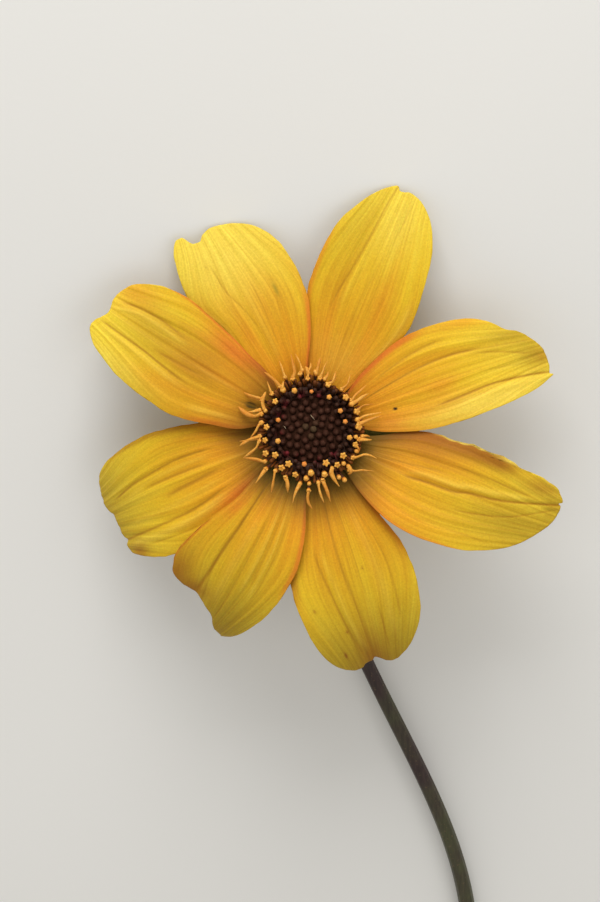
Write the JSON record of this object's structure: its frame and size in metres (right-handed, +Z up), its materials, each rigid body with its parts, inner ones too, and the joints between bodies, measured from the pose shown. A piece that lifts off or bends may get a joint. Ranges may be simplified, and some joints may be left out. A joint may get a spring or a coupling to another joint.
{
  "type": "single cut dahlia",
  "caption": "Cut single dahlia lying on a table: broad yellow ray petals round a dark disc ringed by yellow florets, on a bare bronze stem.",
  "frame": {"origin": "centre of the overall box on the table that the cut flower lies on", "axes": "+Z up from the table, +Y from the flower head towards the cut end of the stem, +X to the right of someone who looks along +Y"},
  "size_m": [0.0859, 0.2063, 0.0328],
  "materials": {
    "ray_petal_1": "velvety matt petal, lemon yellow with an orange claw",
    "ray_petal_2": "velvety matt petal, lemon yellow with an orange claw",
    "ray_petal_3": "velvety matt petal, ochre yellow with an orange margin",
    "ray_petal_4": "velvety matt petal, ochre yellow with an orange claw",
    "ray_petal_5": "velvety matt petal, ochre yellow with orange streaks",
    "ray_petal_6": "velvety matt petal, golden yellow with an orange claw",
    "ray_petal_7": "velvety matt petal, golden yellow with an orange margin",
    "ray_petal_8": "velvety matt petal, lemon yellow with an orange claw",
    "closed_disc_florets": "matt maroon brown buds",
    "open_disc_florets": "matt golden mouths on purple brown tubes",
    "inner_bracts": "thin satin bracts, olive green",
    "outer_bracts": "leafy satin bracts, bronze green",
    "receptacle_and_stem": "smooth satin stem, dark bronze with a green tinge"
  },
  "bodies": {
    "root": {"ray_petal_1": "ray_petal_1", "ray_petal_2": "ray_petal_2", "ray_petal_3": "ray_petal_3", "ray_petal_4": "ray_petal_4", "ray_petal_5": "ray_petal_5", "ray_petal_6": "ray_petal_6", "ray_petal_7": "ray_petal_7", "ray_petal_8": "ray_petal_8", "closed_disc_florets": "closed_disc_florets", "open_disc_florets": "open_disc_florets", "inner_bracts": "inner_bracts", "outer_bracts": "outer_bracts", "receptacle_and_stem": "receptacle_and_stem"}
  },
  "joints": []
}
